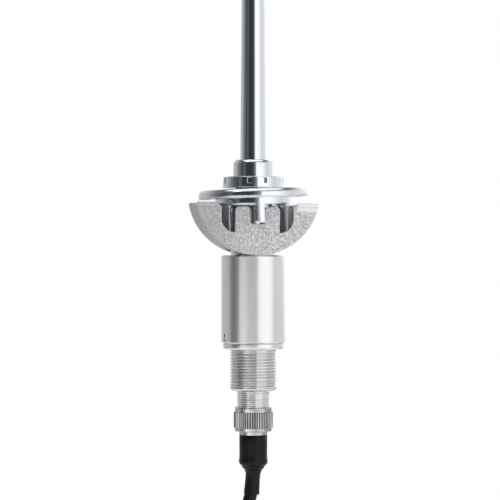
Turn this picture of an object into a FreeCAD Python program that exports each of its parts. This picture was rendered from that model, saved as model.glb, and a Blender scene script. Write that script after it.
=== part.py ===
"""Car wing aerial: a telescopic mast in an insulated body tube, clamped to the wing by a chromed
bezel above and a cast half-moon saddle below, with a screwed lead connector, its cable and plug.

Millimetres. +Z runs up the mast. The origin is on the mast's axis, in the plane of the saddle's
tooth tips, which is the underside of the wing. -Y is the front of the saddle.
"""
import FreeCAD, Part
import math
import os

V = FreeCAD.Vector
UP = V(0, 0, 1)
AXIS_Y = V(0, 1, 0)
ORIGIN = V(0, 0, 0)

# Clearances
running = 0.05            # radial, between pieces that slide or screw on each other
seat_gap = 0.05           # between flat faces of pieces that move apart
loose = 0.3               # round pieces that only pass through a hole

# Body tube: plain neck with a metric thread 16 x 1 at its foot and 12 x 1 at its head
thread_dia = 16.0
neck_dia = 15.5
neck_top_z = 1.6
body_bore = 12.4
body_foot_z = -64.5
foot_round = 1.2
head_thread_dia = 12.0
head_top_z = 12.4
head_bore = 10.2
head_floor_z = -1.0       # where the wide bore of the body ends under the head

# Half-moon saddle that the body rocks in
saddle_radius = 21.4
rock_centre_z = 3.4
saddle_depth = 22.0
saddle_edge = 0.5
saddle_wall = 2.1
pocket_half_length = 13.9
pocket_floor_z = -11.1
pocket_corner = 1.6
rock_room_deg = 7.0
saddle_tilt_deg = 1.0     # how far it lies turned on the tube, its left lug up
wall_top_z = -1.6
merlon_round = 1.2
centre_slot_width = 5.1
centre_slot_floor_z = -7.4
centre_slot_round = 0.8
window_near = 7.55
window_width = 4.85
lug_top_z = -0.7
lug_start = 13.7
lug_slope = 1.3
tooth_bar_inset = 0.2     # from the lug's start towards the middle
tooth_bar_length = 7.3
tooth_bar_width = 2.0
tooth_bar_height = 1.4
tooth_bar_proud = 0.4     # stands out of the wall's outer face
teeth_per_bar = 7
tooth_depth = 0.45
machined_band = 1.6       # height of the milled flat under the front bar of the right lug
machined_depth = 0.2

# Chromed bezel with six legs, which lies tilted between the cap nut and the saddle
bezel_radius = 18.9
bezel_crown_z = 4.85
bezel_tilt_deg = 2.2
bezel_recess = 0.45       # the flange of the cap nut sits down in it
bezel_recess_radius = 10.9
bezel_flat_radius = 11.3
bezel_shoulder_radius = 16.9
bezel_shoulder_drop = 0.15
bezel_rim_drop = 2.2      # from the crown to the top of the upright edge
bezel_rim_height = 0.95
bezel_wall = 1.1
bezel_hole_clearance = 0.5
skirt_radius = 13.3
skirt_wall = 1.0
skirt_bottom_z = -0.8
leg_count = 6
end_leg_width = 3.3       # the legs in front and behind
end_leg_bottom_z = -7.0
side_leg_width = 5.4
side_leg_bottom_z = -10.1
leg_round = 0.5

# Cap nut with spanner pockets in its flange
nut_flange_z = 5.05
nut_flange_height = 3.8
nut_flange_radius = 10.5
nut_flange_draft = 0.2
nut_barrel_radius = 6.87
nut_top_z = 14.8
nut_shoulder = 1.9
nut_edge = 0.25
pocket_width = 1.6
pocket_height = 1.95
pocket_depth = 1.4
pocket_below_top = 0.35
pocket_pairs = 4
pocket_pair_half_deg = 14.55
pocket_turn_deg = -1.35   # where the screwed-down nut happens to stop

# Mast: fixed tapered stem, two sliding tubes and a rod
stem_foot_dia = 8.9
stem_top_dia = 7.75
stem_taper_top_z = 95.0
stem_top_z = 240.0
stem_foot_z = -28.0
stem_bore = 6.9
tube_diameters = (6.1, 4.6, 3.0)
tube_walls = (0.4, 0.35)
section_step = 4.0        # how far each closed section stands out of the one around it
lip_length = 2.0
lip_crimp = 0.25
collar_height = 1.5
spring_length = 9.0
spring_split = 0.9
tip_radius = 2.6
tip_height = 6.5
tip_dome = 2.4
tip_edge = 0.4
tip_socket = 4.0

# Insulators, feed and socket
bush_top_z = 14.2
bush_collar_z = -6.0
seat_top_z = -18.0
seat_floor_z = -31.0
mast_foot_top_z = -22.0
feed_rod_dia = 1.8
feed_rod_depth = 3.0
socket_inner_top_z = -56.0
socket_thread_dia = 11.35
socket_face_z = -75.0
socket_bore = 8.0
socket_insulator_top_z = -60.0
contact_top_z = -66.0
contact_wall = 0.65
contact_inset = 0.5
contact_head = 2.2        # solid top of the contact tube
contact_seat = 1.5        # how far the feed rod is soldered into it
pin_dia = 2.0

# Clamping sleeve and ring nut
sleeve_dia = 22.0
sleeve_length = 30.0
sleeve_edge = 0.35
sleeve_slit_deg = -72.8   # from the front, towards +X
sleeve_slit_width = 0.6
sleeve_slit_length = 2.7
sleeve_slit_hole = 1.0
ring_nut_dia = 20.9
ring_nut_height = 2.1
ring_nut_round = 0.8

# Lead connector
union_top_z = -70.1
union_collar_radius = 6.33
union_collar_height = 1.7
knurl_radius = 6.75
knurl_depth = 0.32
knurl_height = 5.4
knurl_count = 48
union_foot_height = 1.2
union_edge = 0.3
union_lip = 2.0
ferrule_flange_radius = 5.5
ferrule_radius = 4.86
ferrule_bottom_z = -79.6
ferrule_tail_radius = 3.4
ferrule_tail_length = 6.9
dielectric_dia = 6.0
dielectric_bottom_z = -82.0
pin_tip_z = -69.0

# Boot, from its open end downwards: a cylinder with a small bead, then a taper to a leaning sleeve
boot_radius = 4.86
boot_bead = 0.12
boot_bead_height = 1.0
boot_bottom_z = -89.4
boot_steps = ((4.0, -90.4), (3.3, -91.6), (2.75, -93.0))
boot_sleeve_radius = 2.7

# Cable, coil and plug
cable_dia = 4.5
arc_share = 0.45
cable_route = (
    V(0.0, 0.0, -82.0),
    V(0.0, 0.0, -92.0),
    V(-0.7, 0.0, -101.0),
    V(-4.8, 0.0, -111.5),
    V(-10.6, 0.0, -122.0),
    V(-17.2, 0.0, -133.0),
)
coil_radius = 24.0
coil_bundle_radius = 6.7
coil_join_deg = 150.0     # where the lead runs into the outermost turn
tie_deg = 100.0
tie_width_deg = 11.0
tie_thickness = 0.9
tail_offset = V(-26.25, -3.9, 0)
tail_runs = (V(0.4, -1.1, -14.0), V(0, 0, -13.0))
plug_grip_radius = 4.9
plug_grip_length = 17.0
plug_grip_neck = 3.2
plug_grip_taper = 6.0
plug_grip_ribs = 6
plug_rib_width = 0.8
plug_rib_depth = 0.5
plug_shell_radius = 4.6
plug_shell_wall = 0.6
plug_shell_length = 14.0
plug_shell_seat = 3.0
plug_slot_width = 0.8
plug_slot_length = 8.0
plug_slots = 4
plug_insulator_length = 4.0
plug_pin_dia = 3.2
plug_pin_reach = 9.0

# Worked out from the values above
neck_r = neck_dia / 2
thread_r = thread_dia / 2
pocket_half_width = saddle_depth / 2 - saddle_wall
saddle_foot_z = rock_centre_z - saddle_radius
sleeve_top_z = saddle_foot_z - seat_gap
sleeve_bottom_z = sleeve_top_z - sleeve_length
ring_nut_top_z = sleeve_bottom_z - seat_gap
thread_top_z = ring_nut_top_z - ring_nut_height - seat_gap
window_far = window_near + window_width
nut_flange_top_z = nut_flange_z + nut_flange_height
section_foot_z = mast_foot_top_z + loose
cable_r = cable_dia / 2


def ring(r_out, r_in, z_low, z_high):
    """A plain round ring or bush standing on z_low; r_in of 0 makes it a disc."""
    solid = Part.makeCylinder(r_out, z_high - z_low, V(0, 0, z_low))
    if r_in > 0:
        solid = solid.cut(Part.makeCylinder(r_in, z_high - z_low, V(0, 0, z_low)))
    return solid


def outline(points):
    """Closed wire in the XZ plane through (x, z) pairs."""
    corners = [V(x, 0, z) for x, z in points]
    return Part.makePolygon(corners + corners[:1])


def turned(points):
    """Solid of revolution about the mast's axis from a closed (radius, z) outline."""
    return Part.Face(outline(points)).revolve(ORIGIN, UP, 360)


def prism_y(wire, y_from, y_to):
    """Solid between two Y planes from a closed wire drawn in the XZ plane."""
    face = Part.Face(wire)
    face.translate(V(0, y_from, 0))
    return face.extrude(V(0, y_to - y_from, 0))


def round_edges(solid, radius, pick):
    """Rounds the edges that pick(edge) accepts."""
    return solid.makeFillet(radius, [e for e in solid.Edges if pick(e)])


def chamfer_edges(solid, size, pick):
    return solid.makeChamfer(size, [e for e in solid.Edges if pick(e)])


def circle_at(edge, z, radius=None):
    """True for a whole round edge that lies at height z, of the given radius if one is named."""
    curve = edge.Curve
    if not isinstance(curve, Part.Circle):
        return False
    level = abs(edge.BoundBox.ZMin - z) < 0.01 and edge.BoundBox.ZLength < 0.01
    return level and (radius is None or abs(curve.Radius - radius) < 0.01)


def runs_across_at(edge, z):
    """True for an edge along Y, longer than the saddle's wall is thick, at height z."""
    box = edge.BoundBox
    return box.YLength > saddle_wall and box.ZLength < 0.01 and abs(box.ZMin - z) < 0.01


def front_turn(shape, degrees):
    """A copy turned about the mast's axis, counted from the front towards +X."""
    copy = shape.copy()
    copy.rotate(ORIGIN, UP, degrees)
    return copy


def tooth_bar(x_from, y_from):
    """A low bar along X whose top is a row of V teeth that bite the underside of the wing."""
    pitch = tooth_bar_length / teeth_per_bar
    points = [(x_from, -tooth_bar_height), (x_from, -tooth_depth)]
    for i in range(teeth_per_bar):
        points.append((x_from + (i + 0.5) * pitch, 0.0))
        points.append((x_from + (i + 1) * pitch, -tooth_depth))
    points.append((x_from + tooth_bar_length, -tooth_bar_height))
    return prism_y(outline(points), y_from, y_from + tooth_bar_width)


def saddle_window(side):
    """Opening for a side leg: straight near the middle, a quarter circle outside and below."""
    near = side * window_near
    far = side * window_far
    shoulder = centre_slot_floor_z + 1.85
    foot = shoulder - window_width
    swing = window_width * math.sqrt(0.5)
    middle = V(near + side * swing, 0, shoulder - swing)
    wire = Part.Wire([
        Part.LineSegment(V(near, 0, 1), V(near, 0, foot)).toShape(),
        Part.Arc(V(near, 0, foot), middle, V(far, 0, shoulder)).toShape(),
        Part.LineSegment(V(far, 0, shoulder), V(far, 0, 1)).toShape(),
        Part.LineSegment(V(far, 0, 1), V(near, 0, 1)).toShape(),
    ])
    return prism_y(wire, -saddle_depth, saddle_depth)


def clamp_saddle():
    """Cast half-moon: two half-disc walls joined by toothed lugs, with a throat for the neck.

    The throat fits the neck on the left and leaves room on the right, where the neck's foot swings to.
    """
    half_chord = math.sqrt(saddle_radius ** 2 - (rock_centre_z - lug_top_z) ** 2)
    left = V(-half_chord, 0, lug_top_z)
    right = V(half_chord, 0, lug_top_z)
    wire = Part.Wire([
        Part.Arc(left, V(0, 0, saddle_foot_z), right).toShape(),
        Part.LineSegment(right, left).toShape(),
    ])
    half_depth = saddle_depth / 2
    body = prism_y(wire, -half_depth, half_depth)
    body = chamfer_edges(body, saddle_edge, lambda e: isinstance(e.Curve, Part.Circle))

    slope_foot = lug_start - lug_slope
    crest = outline([(-lug_start, 2), (-lug_start, lug_top_z), (-slope_foot, wall_top_z),
                     (slope_foot, wall_top_z), (lug_start, lug_top_z), (lug_start, 2)])
    body = body.cut(prism_y(crest, -saddle_depth, saddle_depth))

    pocket = prism_y(outline([(-pocket_half_length, 2), (-pocket_half_length, pocket_floor_z),
                              (pocket_half_length, pocket_floor_z), (pocket_half_length, 2)]),
                     -pocket_half_width, pocket_half_width)
    pocket = round_edges(pocket, pocket_corner, lambda e: runs_across_at(e, pocket_floor_z))
    spread = math.tan(math.radians(rock_room_deg))
    left_side = -neck_r - loose
    top_right = neck_r + loose + (rock_centre_z - pocket_floor_z) * spread
    foot_right = neck_r + loose + (saddle_radius + 1) * spread
    throat = prism_y(outline([(left_side, pocket_floor_z + 0.1), (left_side, saddle_foot_z - 1),
                              (foot_right, saddle_foot_z - 1), (top_right, pocket_floor_z + 0.1)]),
                     -pocket_half_width, pocket_half_width)
    body = body.cut(pocket).cut(throat)

    half_slot = centre_slot_width / 2
    slot = prism_y(outline([(-half_slot, 1), (-half_slot, centre_slot_floor_z),
                            (half_slot, centre_slot_floor_z), (half_slot, 1)]), -saddle_depth, saddle_depth)
    slot = round_edges(slot, centre_slot_round, lambda e: runs_across_at(e, centre_slot_floor_z))
    body = body.cut(slot).cut(saddle_window(1)).cut(saddle_window(-1))
    body = round_edges(body, merlon_round, is_merlon_corner)

    bar_start = lug_start - tooth_bar_inset
    bar_front = -half_depth - tooth_bar_proud
    milled = Part.makeBox(saddle_radius, machined_depth, machined_band,
                          V(bar_start, -half_depth, -tooth_bar_height - machined_band))
    body = body.cut(milled)
    for x_from in (bar_start, -bar_start - tooth_bar_length):
        for y_from in (bar_front, -bar_front - tooth_bar_width):
            body = body.fuse(tooth_bar(x_from, y_from))
    body = body.removeSplitter()
    body.rotate(V(0, 0, rock_centre_z), AXIS_Y, saddle_tilt_deg)
    return body


def is_merlon_corner(edge):
    """The upper corners of the wall pieces between the slot and the windows."""
    box = edge.BoundBox
    across = abs(box.YLength - saddle_wall) < 0.01 and box.XLength < 0.01 and box.ZLength < 0.01
    inside = abs(box.XMin) < window_near + 0.1
    return across and inside and abs(box.ZMin - wall_top_z) < 0.01


def bezel():
    """Dished chromed ring with a skirt and six legs, tilted as it lies loose on the saddle."""
    rim_top = bezel_crown_z - bezel_rim_drop
    rim_bottom = rim_top - bezel_rim_height
    hole = head_thread_dia / 2 + bezel_hole_clearance
    shoulder = V(bezel_shoulder_radius, 0, bezel_crown_z - bezel_shoulder_drop)
    edge_low = V(bezel_radius, 0, rim_bottom)
    edge_high = V(bezel_radius, 0, rim_top)
    belly = V(bezel_radius - 0.38, 0, (rim_top + shoulder.z) / 2 + 0.32)
    lip_in = V(bezel_radius - 0.6, 0, rim_bottom)
    under_rim = V(bezel_radius - 1.3, 0, rim_top - 0.2)
    under_flat = V(bezel_flat_radius, 0, bezel_crown_z - bezel_wall)
    under_mid = V(bezel_shoulder_radius - 1.6, 0, bezel_crown_z - bezel_shoulder_drop - bezel_wall + 0.1)
    crown_edge = V(bezel_flat_radius, 0, bezel_crown_z)
    crown_mid = V((bezel_flat_radius + bezel_shoulder_radius) / 2, 0, bezel_crown_z - 0.03)
    recess_edge = V(bezel_recess_radius, 0, bezel_crown_z - bezel_recess)
    hole_top = V(hole, 0, bezel_crown_z - bezel_recess)
    hole_low = V(hole, 0, bezel_crown_z - bezel_wall)
    wire = Part.Wire([
        Part.LineSegment(hole_low, hole_top).toShape(),
        Part.LineSegment(hole_top, recess_edge).toShape(),
        Part.LineSegment(recess_edge, crown_edge).toShape(),
        Part.Arc(crown_edge, crown_mid, shoulder).toShape(),
        Part.Arc(shoulder, belly, edge_high).toShape(),
        Part.LineSegment(edge_high, edge_low).toShape(),
        Part.LineSegment(edge_low, lip_in).toShape(),
        Part.LineSegment(lip_in, under_rim).toShape(),
        Part.LineSegment(under_rim, under_mid).toShape(),
        Part.LineSegment(under_mid, under_flat).toShape(),
        Part.LineSegment(under_flat, hole_low).toShape(),
    ])
    dish = Part.Face(wire).revolve(ORIGIN, UP, 360)
    skirt_top = bezel_crown_z - bezel_wall / 2
    solid = dish.fuse(ring(skirt_radius, skirt_radius - skirt_wall, skirt_bottom_z, skirt_top))
    for i in range(leg_count):
        is_end = i % (leg_count // 2) == 0
        size = (end_leg_width, end_leg_bottom_z) if is_end else (side_leg_width, side_leg_bottom_z)
        solid = solid.fuse(front_turn(bezel_leg(*size), i * 360 / leg_count))
    solid = solid.removeSplitter()
    solid.rotate(V(0, 0, bezel_crown_z), AXIS_Y, -bezel_tilt_deg)
    return solid


def bezel_leg(width, bottom_z):
    """One leg at the front: a strip of the skirt's wall, rounded at its lower corners."""
    half_deg = math.degrees(math.asin(width / 2 / skirt_radius))
    inner = skirt_radius - skirt_wall
    strip = Part.Face(outline([(inner, bottom_z), (skirt_radius, bottom_z),
                               (skirt_radius, skirt_bottom_z + 1), (inner, skirt_bottom_z + 1)]))
    leg = strip.revolve(ORIGIN, UP, 2 * half_deg)
    leg.rotate(ORIGIN, UP, -90 - half_deg)
    return round_edges(leg, leg_round,
                       lambda e: e.BoundBox.ZLength < 0.01 and abs(e.BoundBox.ZMin - bottom_z) < 0.01
                       and isinstance(e.Curve, Part.Line))


def cap_nut():
    """Chromed nut: spanner flange below, barrel with a rounded shoulder above."""
    r_high = nut_flange_radius - nut_flange_draft
    mouth = head_bore / 2 + running
    thread = head_thread_dia / 2 + running
    ledge = head_top_z + loose
    solid = turned([
        (thread, nut_flange_z), (nut_flange_radius, nut_flange_z), (r_high, nut_flange_top_z),
        (nut_barrel_radius, nut_flange_top_z), (nut_barrel_radius, nut_top_z),
        (mouth, nut_top_z), (mouth, ledge), (thread, ledge),
    ])
    barrel_room = nut_barrel_radius - mouth
    shoulder = min(nut_shoulder, 0.95 * barrel_room)
    solid = round_edges(solid, shoulder, lambda e: circle_at(e, nut_top_z, nut_barrel_radius))
    solid = round_edges(solid, nut_edge, lambda e: circle_at(e, nut_flange_top_z, r_high)
                        or circle_at(e, nut_flange_z, nut_flange_radius))
    pocket = Part.makeBox(pocket_width, 2 * pocket_depth, pocket_height,
                          V(-pocket_width / 2, -nut_flange_radius - pocket_depth,
                            nut_flange_top_z - pocket_below_top - pocket_height))
    for i in range(pocket_pairs):
        for side in (-1, 1):
            angle = pocket_turn_deg + i * 360 / pocket_pairs + side * pocket_pair_half_deg
            solid = solid.cut(front_turn(pocket, angle))
    return solid


def body_tube():
    """Turned tube: threaded head for the cap nut, plain neck, threaded foot for the ring nut."""
    solid = turned([
        (head_bore / 2, head_floor_z), (head_bore / 2, head_top_z),
        (head_thread_dia / 2, head_top_z), (head_thread_dia / 2, neck_top_z),
        (neck_r, neck_top_z), (neck_r, thread_top_z), (thread_r, thread_top_z),
        (thread_r, body_foot_z), (body_bore / 2, body_foot_z), (body_bore / 2, head_floor_z),
    ])
    solid = round_edges(solid, foot_round, lambda e: circle_at(e, body_foot_z, thread_r))
    return chamfer_edges(solid, 0.4, lambda e: circle_at(e, head_top_z, head_thread_dia / 2)
                         or circle_at(e, neck_top_z, neck_r))


def mast_bush():
    """Insulating bush in the head of the body; its rim shows between the nut and the mast."""
    r_in = stem_foot_dia / 2
    return turned([
        (r_in, bush_collar_z), (r_in, bush_top_z), (head_bore / 2, bush_top_z),
        (head_bore / 2, head_floor_z), (body_bore / 2, head_floor_z), (body_bore / 2, bush_collar_z),
    ])


def mast_seat():
    """Insulating cup that carries the foot of the mast, with a hole for the feed rod."""
    r_stem = stem_foot_dia / 2
    r_feed = feed_rod_dia / 2
    return turned([
        (r_feed, seat_floor_z), (r_feed, stem_foot_z), (r_stem, stem_foot_z),
        (r_stem, seat_top_z), (body_bore / 2, seat_top_z), (body_bore / 2, seat_floor_z),
    ])


def mast_foot():
    """Plug in the foot of the stem; the feed rod is soldered into it from below."""
    solid = ring(stem_bore / 2, 0, stem_foot_z, mast_foot_top_z)
    return solid.cut(ring(feed_rod_dia / 2, 0, stem_foot_z, stem_foot_z + feed_rod_depth))


def feed_rod():
    return ring(feed_rod_dia / 2, 0, contact_top_z - contact_seat, stem_foot_z + feed_rod_depth)


def mast_stem():
    """Fixed mast tube: parallel in its insulators, a long taper, then parallel to the rolled lip."""
    r_foot = stem_foot_dia / 2
    r_top = stem_top_dia / 2
    bore = stem_bore / 2
    lip = tube_diameters[0] / 2 + running
    return turned([
        (bore, stem_foot_z), (r_foot, stem_foot_z), (r_foot, nut_top_z),
        (r_top, stem_taper_top_z), (r_top, stem_top_z - lip_length),
        (r_top - lip_crimp, stem_top_z), (lip, stem_top_z),
        (lip, stem_top_z - lip_length), (bore, stem_top_z - lip_length),
    ])


def section_top_z(i):
    """Height of the top of sliding section i when the mast is closed."""
    return stem_top_z + (i + 1) * section_step


def outer_bore(i):
    """Radius of the bore that sliding section i runs in."""
    if i == 0:
        return stem_bore / 2
    return tube_diameters[i - 1] / 2 - tube_walls[i - 1]


def sliding_tube(i):
    """Sliding tube with a foot collar that fills the bore around it and a rolled lip at the top."""
    r_out = tube_diameters[i] / 2
    bore = r_out - tube_walls[i]
    lip = tube_diameters[i + 1] / 2 + running
    top = section_top_z(i)
    collar = outer_bore(i) - running
    return turned([
        (bore, section_foot_z), (collar, section_foot_z), (collar, section_foot_z + collar_height),
        (r_out, section_foot_z + collar_height), (r_out, top - lip_length),
        (r_out - tube_walls[i] / 2, top), (lip, top), (lip, top - lip_length), (bore, top - lip_length),
    ])


def friction_spring(i):
    """Split brass sleeve crimped round the foot of section i; it rubs in the bore and holds the section."""
    foot = section_foot_z + collar_height
    sleeve = ring(outer_bore(i) - running, tube_diameters[i] / 2, foot, foot + spring_length)
    split = Part.makeBox(2 * stem_bore, spring_split, spring_length, V(0, -spring_split / 2, foot))
    return sleeve.cut(split)


def mast_rod():
    """Innermost section: a solid rod with the same foot collar, let into the tip."""
    i = len(tube_diameters) - 1
    r = tube_diameters[i] / 2
    rod = ring(r, 0, section_foot_z, section_top_z(i - 1) + seat_gap + tip_socket)
    collar = ring(outer_bore(i) - running, 0, section_foot_z, section_foot_z + collar_height)
    return rod.fuse(collar).removeSplitter()


def mast_tip():
    """Small domed button on the rod, which rests on the closed mast."""
    i = len(tube_diameters) - 1
    base = section_top_z(i - 1) + seat_gap
    button = ring(tip_radius, 0, base, base + tip_height)
    button = round_edges(button, tip_dome, lambda e: circle_at(e, base + tip_height))
    button = chamfer_edges(button, tip_edge, lambda e: circle_at(e, base))
    return button.cut(ring(tube_diameters[i] / 2, 0, base, base + tip_socket))


def socket_body():
    """Turned plug pressed into the foot of the body, with the thread for the union nut."""
    solid = turned([
        (socket_bore / 2, socket_face_z), (socket_thread_dia / 2, socket_face_z),
        (socket_thread_dia / 2, body_foot_z), (body_bore / 2, body_foot_z),
        (body_bore / 2, socket_inner_top_z), (socket_bore / 2, socket_inner_top_z),
    ])
    return chamfer_edges(solid, 0.3, lambda e: circle_at(e, socket_face_z, socket_thread_dia / 2))


def contact_radius():
    return pin_dia / 2 + running + contact_wall


def socket_insulator():
    """Plastic core of the socket; it holds the contact tube and lets the feed rod through."""
    r_feed = feed_rod_dia / 2
    return turned([
        (contact_radius(), socket_face_z), (socket_bore / 2, socket_face_z),
        (socket_bore / 2, socket_insulator_top_z), (r_feed, socket_insulator_top_z),
        (r_feed, contact_top_z), (contact_radius(), contact_top_z),
    ])


def socket_contact():
    """Brass contact tube: blind hole for the feed rod above, running bore for the pin below."""
    mouth = socket_face_z + contact_inset
    tube = ring(contact_radius(), pin_dia / 2 + running, mouth, contact_top_z - contact_head)
    head = ring(contact_radius(), 0, contact_top_z - contact_head, contact_top_z)
    head = head.cut(ring(feed_rod_dia / 2, 0, contact_top_z - contact_seat, contact_top_z))
    return tube.fuse(head).removeSplitter()


def spacer_sleeve():
    """Aluminium sleeve that pushes the saddle up; a short slit with a round end opens at its foot."""
    solid = ring(sleeve_dia / 2, thread_r + running, sleeve_bottom_z, sleeve_top_z)
    solid = chamfer_edges(solid, sleeve_edge, lambda e: circle_at(e, sleeve_top_z, sleeve_dia / 2)
                          or circle_at(e, sleeve_bottom_z, sleeve_dia / 2))
    slit = Part.makeBox(sleeve_slit_width, sleeve_dia / 2, sleeve_slit_length,
                        V(-sleeve_slit_width / 2, -sleeve_dia / 2 - 1, sleeve_bottom_z))
    slit = slit.fuse(Part.makeCylinder(sleeve_slit_hole / 2, sleeve_dia / 2,
                                       V(0, -sleeve_dia / 2 - 1, sleeve_bottom_z + sleeve_slit_length), AXIS_Y))
    return solid.cut(front_turn(slit, sleeve_slit_deg))


def ring_nut():
    """Flat ring nut on the foot thread, which forces the sleeve upwards."""
    bottom = ring_nut_top_z - ring_nut_height
    solid = ring(ring_nut_dia / 2, thread_r + running, bottom, ring_nut_top_z)
    solid = round_edges(solid, ring_nut_round, lambda e: circle_at(e, bottom, ring_nut_dia / 2))
    return chamfer_edges(solid, 0.25, lambda e: circle_at(e, ring_nut_top_z, ring_nut_dia / 2))


def union_nut():
    """Knurled union nut between two plain collars, with an inner lip that holds the ferrule."""
    thread = socket_thread_dia / 2 + running
    knurl_top = union_top_z - union_collar_height
    knurl_bottom = knurl_top - knurl_height
    foot = knurl_bottom - union_foot_height
    lip_top = foot + union_lip
    lip = ferrule_radius + running
    solid = turned([(lip, foot), (union_collar_radius, foot), (union_collar_radius, union_top_z),
                    (thread, union_top_z), (thread, lip_top), (lip, lip_top)])
    solid = round_edges(solid, union_edge, lambda e: circle_at(e, foot, union_collar_radius)
                        or circle_at(e, union_top_z, union_collar_radius))
    step = math.pi / knurl_count
    corners = []
    for i in range(2 * knurl_count):
        r = knurl_radius if i % 2 == 0 else knurl_radius - knurl_depth
        corners.append(V(r * math.cos(i * step), r * math.sin(i * step), knurl_bottom))
    crown = Part.Face(Part.makePolygon(corners + corners[:1])).extrude(V(0, 0, knurl_height))
    crown = crown.cut(ring(union_collar_radius - 0.2, 0, knurl_bottom, knurl_top))
    return solid.fuse(crown).removeSplitter()


def connector_ferrule():
    """Nickelled ferrule: flange held by the union nut, round body, crimped tail inside the boot."""
    lip_top = union_top_z - union_collar_height - knurl_height - union_foot_height + union_lip
    flange_low = lip_top + seat_gap
    flange_high = socket_face_z - seat_gap
    tail_end = ferrule_bottom_z - ferrule_tail_length
    return turned([
        (dielectric_dia / 2, flange_high), (ferrule_flange_radius, flange_high),
        (ferrule_flange_radius, flange_low), (ferrule_radius, flange_low),
        (ferrule_radius, ferrule_bottom_z), (ferrule_tail_radius, ferrule_bottom_z),
        (ferrule_tail_radius, tail_end), (cable_r, tail_end),
        (cable_r, dielectric_bottom_z), (dielectric_dia / 2, dielectric_bottom_z),
    ])


def connector_insulator():
    return ring(dielectric_dia / 2, pin_dia / 2, dielectric_bottom_z, socket_face_z - seat_gap)


def connector_pin():
    """Brass pin of the lead, with a rounded tip inside the socket's contact tube."""
    solid = ring(pin_dia / 2, 0, dielectric_bottom_z, pin_tip_z)
    return round_edges(solid, pin_dia / 4, lambda e: circle_at(e, pin_tip_z))


def unit(v):
    return v * (1 / v.Length)


def cord_wire(points, name):
    """Straight runs joined by tangent arcs, each as large as its two runs allow."""
    edges = []
    radii = []
    start = points[0]
    for before, corner, after in zip(points, points[1:], points[2:]):
        u = unit(corner - before)
        w = unit(after - corner)
        half_turn = u.getAngle(w) / 2
        reach = arc_share * min((corner - before).Length, (after - corner).Length)
        radius = reach / math.tan(half_turn)
        radii.append(round(radius, 1))
        inset = math.hypot(reach, radius) - radius
        first = corner - u * reach
        last = corner + w * reach
        edges.append(Part.LineSegment(start, first).toShape())
        edges.append(Part.Arc(first, corner + unit(w - u) * inset, last).toShape())
        start = last
    edges.append(Part.LineSegment(start, points[-1]).toShape())
    wire = Part.Wire(edges)
    print(name, "bend radii", radii, "length", round(wire.Length, 1))
    return wire


def cord_tube(points, name):
    """Round tube along a route; prints how its volume compares with section times length."""
    wire = cord_wire(points, name)
    section = Part.Wire([Part.makeCircle(cable_r, points[0], points[1] - points[0])])
    tube = wire.makePipeShell([section], True, True)
    print(name, "volume ratio", round(tube.Volume / (math.pi * cable_r ** 2 * wire.Length), 5))
    return tube


def coil_centre():
    """Centre of the coil, placed so that the lead runs into its outermost turn along a tangent."""
    angle = math.radians(coil_join_deg)
    reach = coil_radius + cable_dia
    end = cable_route[-1]
    return V(end.x - reach * math.cos(angle), end.y, end.z - reach * math.sin(angle))


def tail_route():
    """The short end that hangs from the coil's left side down to the plug."""
    points = [coil_centre() + tail_offset]
    for run in tail_runs:
        points.append(points[-1] + run)
    return points


def cable_tie():
    """Band round the bundle of turns, near the top of the coil."""
    around = Part.makeTorus(coil_radius, coil_bundle_radius + tie_thickness, ORIGIN, UP, 0, 360, tie_width_deg)
    bundle = Part.makeTorus(coil_radius, coil_bundle_radius, ORIGIN, UP)
    band = around.cut(bundle)
    band.rotate(ORIGIN, UP, tie_deg - tie_width_deg / 2)
    band.rotate(ORIGIN, V(1, 0, 0), 90)
    band.translate(coil_centre())
    return band


def boot(cable):
    """Rubber boot over the ferrule: cylinder with a bead, taper, and a sleeve that leans with the cable."""
    bead_top = boot_bottom_z + boot_bead_height
    shell = [(0, ferrule_bottom_z), (boot_radius, ferrule_bottom_z), (boot_radius, bead_top + 0.3),
             (boot_radius + boot_bead, bead_top - 0.1), (boot_radius + boot_bead, boot_bottom_z)]
    shell += [(r, z) for r, z in boot_steps]
    shell.append((0, boot_steps[-1][1]))
    solid = turned(shell)
    bend = cable_route[1]
    mouth = cable_route[2]
    lean = unit(mouth - bend)
    sleeve = Part.makeCylinder(boot_sleeve_radius, (mouth - bend).Length - 1.0, bend, lean)
    solid = solid.fuse(sleeve)
    tail_end = ferrule_bottom_z - ferrule_tail_length
    solid = solid.cut(ring(ferrule_tail_radius, 0, tail_end, ferrule_bottom_z))
    solid = solid.cut(ring(cable_r, 0, bend.z, tail_end))
    return solid.cut(cable).removeSplitter()


def plug_frame():
    """Where the plug starts and which way it points: along the last run of the tail."""
    points = tail_route()
    return points[-1], unit(points[-1] - points[-2])


def along_plug(shape):
    """Places a shape that was built on the origin, pointing up, onto the end of the tail."""
    base, way = plug_frame()
    shape.Placement = FreeCAD.Placement(base, FreeCAD.Rotation(UP, way)).multiply(shape.Placement)
    return shape


def plug_grip():
    """Moulded grip of the plug with grooves for the fingers; the cable ends in its neck."""
    solid = turned([(0, 0), (plug_grip_neck, 0), (plug_grip_radius, plug_grip_taper),
                    (plug_grip_radius, plug_grip_length), (0, plug_grip_length)])
    pitch = (plug_grip_length - plug_grip_taper) / (plug_grip_ribs + 1)
    for i in range(plug_grip_ribs):
        low = plug_grip_taper + (i + 0.6) * pitch
        solid = solid.cut(ring(plug_grip_radius + 1, plug_grip_radius - plug_rib_depth, low, low + plug_rib_width))
    seat = plug_grip_length - plug_shell_seat
    solid = solid.cut(ring(plug_shell_radius - plug_shell_wall, 0, seat, plug_grip_length))
    return along_plug(solid)


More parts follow.
